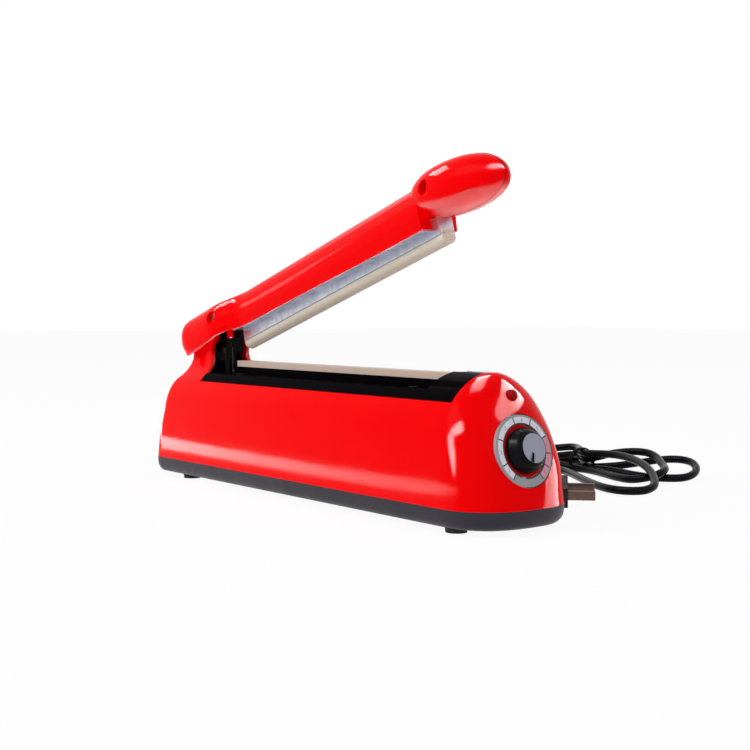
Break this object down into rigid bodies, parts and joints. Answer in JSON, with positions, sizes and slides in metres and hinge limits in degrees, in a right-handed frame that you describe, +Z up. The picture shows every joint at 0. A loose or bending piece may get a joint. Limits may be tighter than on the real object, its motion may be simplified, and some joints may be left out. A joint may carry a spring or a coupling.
{
  "type": "impulse heat sealer",
  "caption": "Hand-operated impulse bag sealer: a long red base with a heated rail, a hinged pressing arm with an oval grip, a timer dial and a mains lead tied in a hank.",
  "frame": {"origin": "on the table under the middle of the base", "axes": "+X along the base towards the knob end, +Y across the base, +Z up"},
  "size_m": [0.385, 0.284, 0.1879],
  "materials": {
    "red_plastic": "glossy",
    "grey_plastic": "satin",
    "black_plastic": "glossy",
    "black_rubber": "matte",
    "cord_vinyl": "satin",
    "galvanised_steel": "galvanised",
    "plated_steel": "plated",
    "lamination_steel": "lacquered",
    "brass": "satin",
    "tan_tape": "coated glass cloth",
    "insulation": "matte",
    "silicone": "matte",
    "winding": "lacquered wire",
    "circuit_board": "solder mask",
    "board_plastic": "satin",
    "dial_face": "printed",
    "grey_cap": "satin",
    "red_lens": "translucent"
  },
  "bodies": {
    "base": {"base_tray": "grey_plastic", "housing": "red_plastic", "top_deck": "black_plastic", "hinge_post": "black_plastic", "rail_insulation": "insulation", "heating_ribbon": "plated_steel", "ribbon_tape": "tan_tape", "ribbon_terminals": "brass", "terminal_screws": "plated_steel", "deck_screws": "plated_steel", "hinge_pin": "plated_steel", "return_spring": "plated_steel", "transformer_core": "lamination_steel", "transformer_coil": "winding", "transformer_strap": "plated_steel", "transformer_screws": "plated_steel", "timer_board": "circuit_board", "board_parts": "board_plastic", "timer_pot": "plated_steel", "pot_nut": "brass", "dial_ring": "dial_face", "lamp_dome": "red_lens", "lamp_body": "insulation", "rubber_feet": "black_rubber", "tray_screws": "plated_steel", "microswitch": "board_plastic", "strain_relief": "cord_vinyl", "lead_tube": "cord_vinyl", "lead_hank": "cord_vinyl", "lead_tail": "cord_vinyl", "hank_tie": "cord_vinyl", "plug_body": "cord_vinyl", "plug_blades": "brass"},
    "arm": {"arm_left_shell": "red_plastic", "arm_right_shell": "red_plastic", "arm_screws": "plated_steel", "seal_channel": "galvanised_steel", "silicone_strip": "silicone", "channel_screws": "plated_steel"},
    "knob": {"timer_knob": "black_plastic", "knob_cap": "grey_cap", "timer_shaft": "plated_steel"},
    "switch_pin": {"switch_pin": "black_plastic"}
  },
  "joints": [
    {"name": "arm_hinge", "type": "hinge", "parent": "base", "child": "arm", "pos_m": [-0.12, 0, 0.0975], "axis": [0, 1, 0], "range_deg": [0, 16.9], "stiffness_Nm_per_rad": 0.5, "springref_deg": -45.84},
    {"name": "knob_turn", "type": "hinge", "parent": "base", "child": "knob", "pos_m": [0.15713, 0, 0.0404], "axis": [0.9627, 0, 0.2706], "range_deg": [-270, 0]},
    {"name": "switch_press", "type": "slide", "parent": "base", "child": "switch_pin", "axis": [0, 0, -1], "range_m": [0, 0.0012], "stiffness_N_per_m": 300, "springref_m": -0.001}
  ]
}
